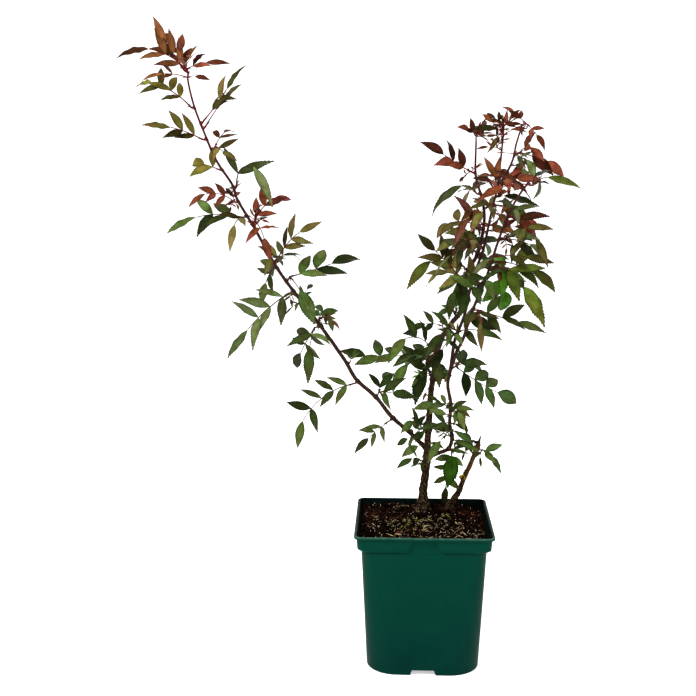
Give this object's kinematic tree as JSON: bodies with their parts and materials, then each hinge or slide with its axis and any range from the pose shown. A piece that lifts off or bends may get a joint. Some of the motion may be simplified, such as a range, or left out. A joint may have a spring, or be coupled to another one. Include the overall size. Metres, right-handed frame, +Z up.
{
  "type": "potted red-leaved rose",
  "caption": "Young rose shrub in a square nursery pot filled with compost, with thin arching woody canes and toothed compound leaves that turn from green to red.",
  "frame": {"origin": "middle of the pot's flat underside", "axes": "+X to the right of the picture, +Y away from its viewer, +Z up from the pot's underside"},
  "size_m": [0.523, 0.2281, 0.7583],
  "materials": {
    "pot_plastic": "satin, moulded, with fine scuffs",
    "compost": "rough and crumbly",
    "bark": "dull, with small warts",
    "leaf_red": "satin leaf",
    "leaf_olive": "satin leaf",
    "leaf_green": "satin leaf",
    "leaf_dark": "satin leaf",
    "leaf_bright": "satin leaf"
  },
  "bodies": {
    "root": {"pot": "pot_plastic", "soil": "compost", "trunk": "bark", "left_stem": "bark", "long_cane_low": "bark", "long_cane_high": "bark", "middle_stem_low": "bark", "middle_stem_high": "bark", "right_stem": "bark", "right_shoot": "bark", "cut_stem": "bark", "spray_cane_tip": "leaf_red", "spray_cane_left_1": "leaf_olive", "spray_cane_right_1": "leaf_green", "spray_cane_left_2": "leaf_green", "spray_cane_right_2": "leaf_olive", "spray_cane_left_3": "leaf_olive", "spray_cane_right_3": "leaf_green", "spray_cane_left_4": "leaf_red", "spray_cane_left_5": "leaf_green", "spray_cane_right_4": "leaf_red", "spray_cane_right_5": "leaf_olive", "spray_cane_left_7": "leaf_green", "spray_cane_right_6": "leaf_green", "spray_cane_left_8": "leaf_olive", "spray_cane_right_7": "leaf_green", "spray_cane_left_9": "leaf_green", "spray_cane_left_10": "leaf_green", "spray_cane_right_8": "leaf_green", "spray_cane_left_11": "leaf_green", "spray_left_long": "leaf_green", "spray_behind_low": "leaf_green", "spray_red_left": "leaf_red", "spray_green_arch": "leaf_dark", "spray_left_mid": "leaf_olive", "spray_left_olive": "leaf_olive", "spray_behind_high": "leaf_green", "spray_top_left": "leaf_red", "spray_trunk_left": "leaf_green", "spray_trunk_low": "leaf_green", "spray_base_leaf": "leaf_bright", "spray_yellow_tip": "leaf_bright", "spray_small_right": "leaf_green", "spray_right_long": "leaf_dark", "spray_front": "leaf_green", "spray_crown_right": "leaf_green", "spray_crown_left": "leaf_green", "spray_olive_middle": "leaf_olive", "spray_red_middle": "leaf_red", "spray_top_middle": "leaf_red", "spray_top_right": "leaf_red", "spray_right_red": "leaf_red", "spray_right_olive": "leaf_olive", "spray_red_low": "leaf_red", "spray_red_lower": "leaf_olive", "spray_right_big": "leaf_green", "spray_right_front": "leaf_green", "spray_right_lower": "leaf_dark", "spray_stub_right": "leaf_green", "spray_stub_left": "leaf_green"}
  },
  "joints": []
}
